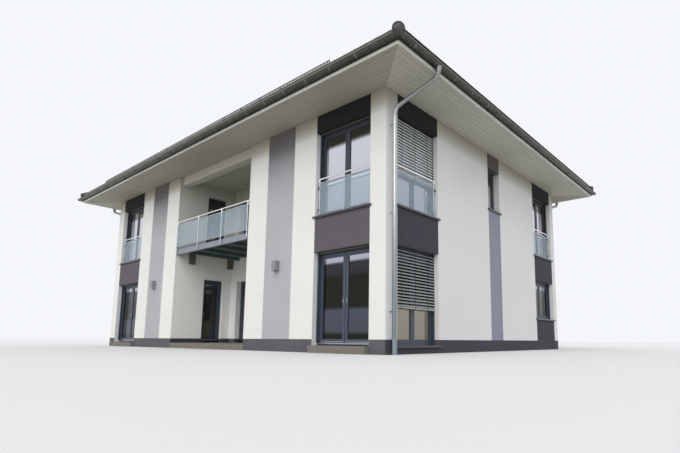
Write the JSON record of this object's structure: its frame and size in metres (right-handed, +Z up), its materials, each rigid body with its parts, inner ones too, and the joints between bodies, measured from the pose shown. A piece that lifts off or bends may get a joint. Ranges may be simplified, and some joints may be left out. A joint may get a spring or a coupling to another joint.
{
  "type": "detached house",
  "caption": "Two-storey detached house with white and grey render, glazed corner bays, a central loggia with a steel balcony, glass railings, deep boarded eaves and a hipped roof.",
  "frame": {"origin": "middle of the plan at ground level, on the level floor the house stands on", "axes": "+X along the front towards the viewer's right, +Y from the front to the rear, +Z up"},
  "size_m": [17.019, 12.599, 8.8869],
  "materials": {
    "white_render": "matt",
    "grey_render": "matt",
    "dark_render": "matt",
    "concrete": "matt",
    "blind_box": "satin",
    "frame_grey": "satin",
    "glass": "gloss",
    "sill_metal": "satin",
    "blind_slats": "satin",
    "threshold_metal": "satin",
    "step_stone": "matt",
    "balcony_steel": "satin",
    "joist_steel": "satin",
    "balcony_floor": "satin",
    "bracket_steel": "matt",
    "railing_steel": "brushed",
    "railing_glass": "gloss",
    "soffit_wood": "matt",
    "roof_timber": "matt",
    "fascia_wood": "satin",
    "roof_tile": "matt",
    "gutter_zinc": "satin",
    "pipe_zinc": "satin",
    "light_metal": "satin",
    "guard_metal": "satin"
  },
  "bodies": {
    "house": {"ground_floor": "concrete", "upper_floor": "concrete", "ceiling_slab": "concrete", "corner_piers": "white_render", "front_wall": "white_render", "rear_wall": "white_render", "side_walls": "white_render", "grey_stripes": "grey_render", "dark_panels": "dark_render", "blind_boxes": "blind_box", "plinth_blocks": "dark_render", "plinth_runs": "dark_render", "loggia_side_walls": "white_render", "loggia_back_wall": "white_render", "loggia_lintels": "white_render", "window_frames": "frame_grey", "window_sashes": "frame_grey", "window_glass": "glass", "window_sills": "sill_metal", "roller_blinds": "blind_slats", "door_jambs": "frame_grey", "door_heads": "frame_grey", "door_thresholds": "threshold_metal", "door_steps": "step_stone", "balcony_channel": "balcony_steel", "balcony_joists": "joist_steel", "balcony_floor": "balcony_floor", "balcony_brackets": "bracket_steel", "railings": "railing_steel", "railing_glass": "railing_glass", "soffit_boards": "soffit_wood", "fascia_boards": "fascia_wood", "wall_plates": "roof_timber", "roof_front_slope": "roof_tile", "roof_rear_slope": "roof_tile", "roof_right_hip": "roof_tile", "roof_left_hip": "roof_tile", "ridge_cap": "roof_tile", "hip_caps": "roof_tile", "snow_guards": "guard_metal", "gutters": "gutter_zinc", "downpipes": "pipe_zinc", "wall_lights": "light_metal"},
    "right_door_a": {"right_door_leaf_a": "frame_grey", "right_door_glass_a": "glass"},
    "right_door_b": {"right_door_leaf_b": "frame_grey", "right_door_glass_b": "glass"},
    "left_door_a": {"left_door_leaf_a": "frame_grey", "left_door_glass_a": "glass"},
    "left_door_b": {"left_door_leaf_b": "frame_grey", "left_door_glass_b": "glass"},
    "loggia_side_door": {"loggia_side_door_leaf": "frame_grey", "loggia_side_door_glass": "glass"},
    "loggia_back_door": {"loggia_back_door_leaf": "frame_grey", "loggia_back_door_glass": "glass"}
  },
  "joints": [
    {"name": "right_door_a_hinge", "type": "hinge", "parent": "house", "child": "right_door_a", "pos_m": [4.988, -4.794, 1.29], "axis": [0, 0, 1], "range_deg": [0, 90]},
    {"name": "right_door_b_hinge", "type": "hinge", "parent": "house", "child": "right_door_b", "pos_m": [6.667, -4.794, 1.29], "axis": [0, 0, -1], "range_deg": [0, 90]},
    {"name": "left_door_a_hinge", "type": "hinge", "parent": "house", "child": "left_door_a", "pos_m": [-6.667, -4.794, 1.29], "axis": [0, 0, 1], "range_deg": [0, 90]},
    {"name": "left_door_b_hinge", "type": "hinge", "parent": "house", "child": "left_door_b", "pos_m": [-4.988, -4.794, 1.29], "axis": [0, 0, -1], "range_deg": [0, 90]},
    {"name": "loggia_side_door_hinge", "type": "hinge", "parent": "house", "child": "loggia_side_door", "pos_m": [-2.336, -3.278, 1.29], "axis": [0, 0, -1], "range_deg": [0, 90]},
    {"name": "loggia_back_door_hinge", "type": "hinge", "parent": "house", "child": "loggia_back_door", "pos_m": [-1.687, -2.604, 1.29], "axis": [0, 0, 1], "range_deg": [0, 90]}
  ]
}
